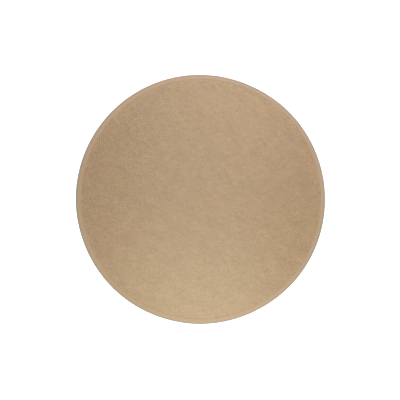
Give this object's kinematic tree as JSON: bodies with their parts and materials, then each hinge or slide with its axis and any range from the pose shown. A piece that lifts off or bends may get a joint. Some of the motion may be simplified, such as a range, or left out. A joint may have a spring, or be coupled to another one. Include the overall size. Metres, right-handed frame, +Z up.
{
  "type": "round jute rug",
  "caption": "Flat round floor rug of natural jute in a two-by-two basket weave, its cut edge bound with a folded tape.",
  "frame": {"origin": "on the floor, under the middle of the rug's outline", "axes": "+Z up, the top of the picture towards +Y and its right towards +X"},
  "size_m": [1.6, 1.6014, 0.0082],
  "materials": {
    "jute": "matte",
    "binding_tape": "matte"
  },
  "bodies": {
    "root": {"jute_field": "jute", "edge_binding": "binding_tape"}
  },
  "joints": []
}
